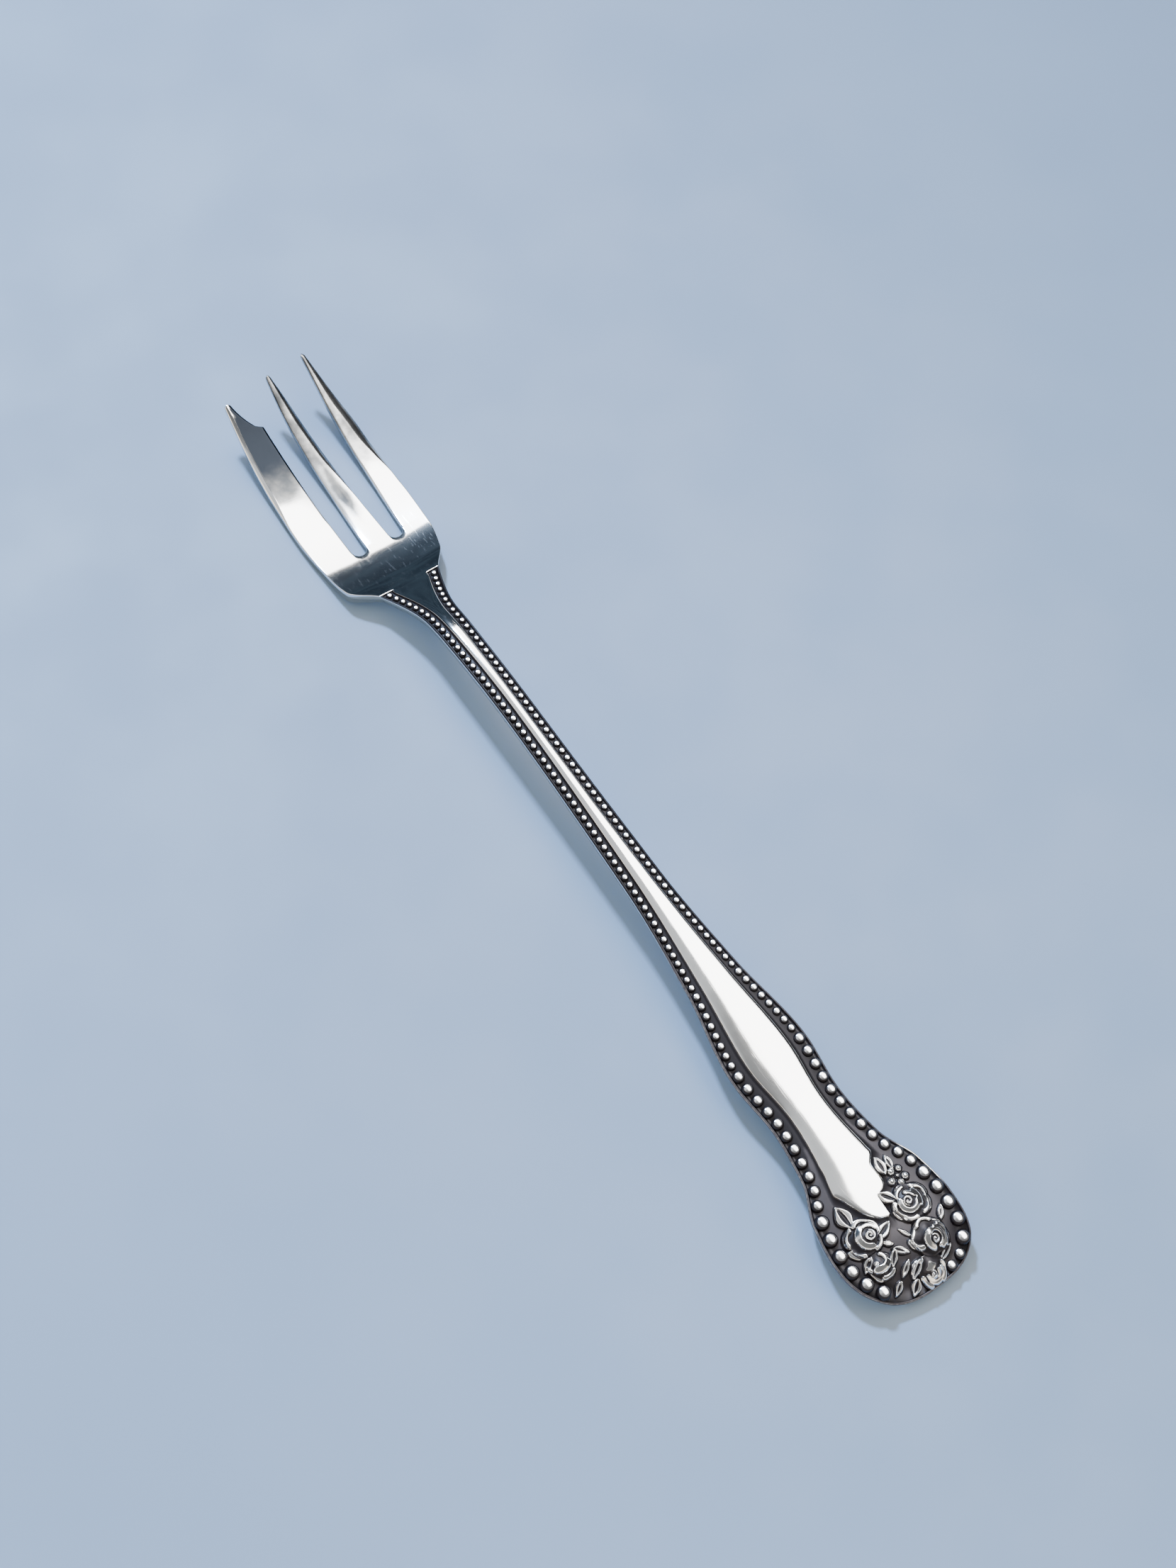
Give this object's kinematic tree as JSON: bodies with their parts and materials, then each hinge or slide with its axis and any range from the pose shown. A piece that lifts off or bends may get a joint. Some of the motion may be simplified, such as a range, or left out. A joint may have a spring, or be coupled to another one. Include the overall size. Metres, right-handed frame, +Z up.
{
  "type": "oyster fork",
  "caption": "Slender table fork for shellfish, with long tines, the left one broad and notched for cutting, a small dished bowl, and a beaded handle with raised roses on its rounded end.",
  "frame": {"origin": "centre of the fork's bounding box, on the table it lies on", "axes": "+X from the handle's end to the points of the tines, +Y towards the broad cutting tine, +Z up from the table, out of the decorated face"},
  "size_m": [0.15, 0.018, 0.0082],
  "materials": {
    "silver": "polished silver with fine wear, and a dark oxidised ground around the beads and flowers"
  },
  "bodies": {
    "root": {"fork": "silver"}
  },
  "joints": []
}
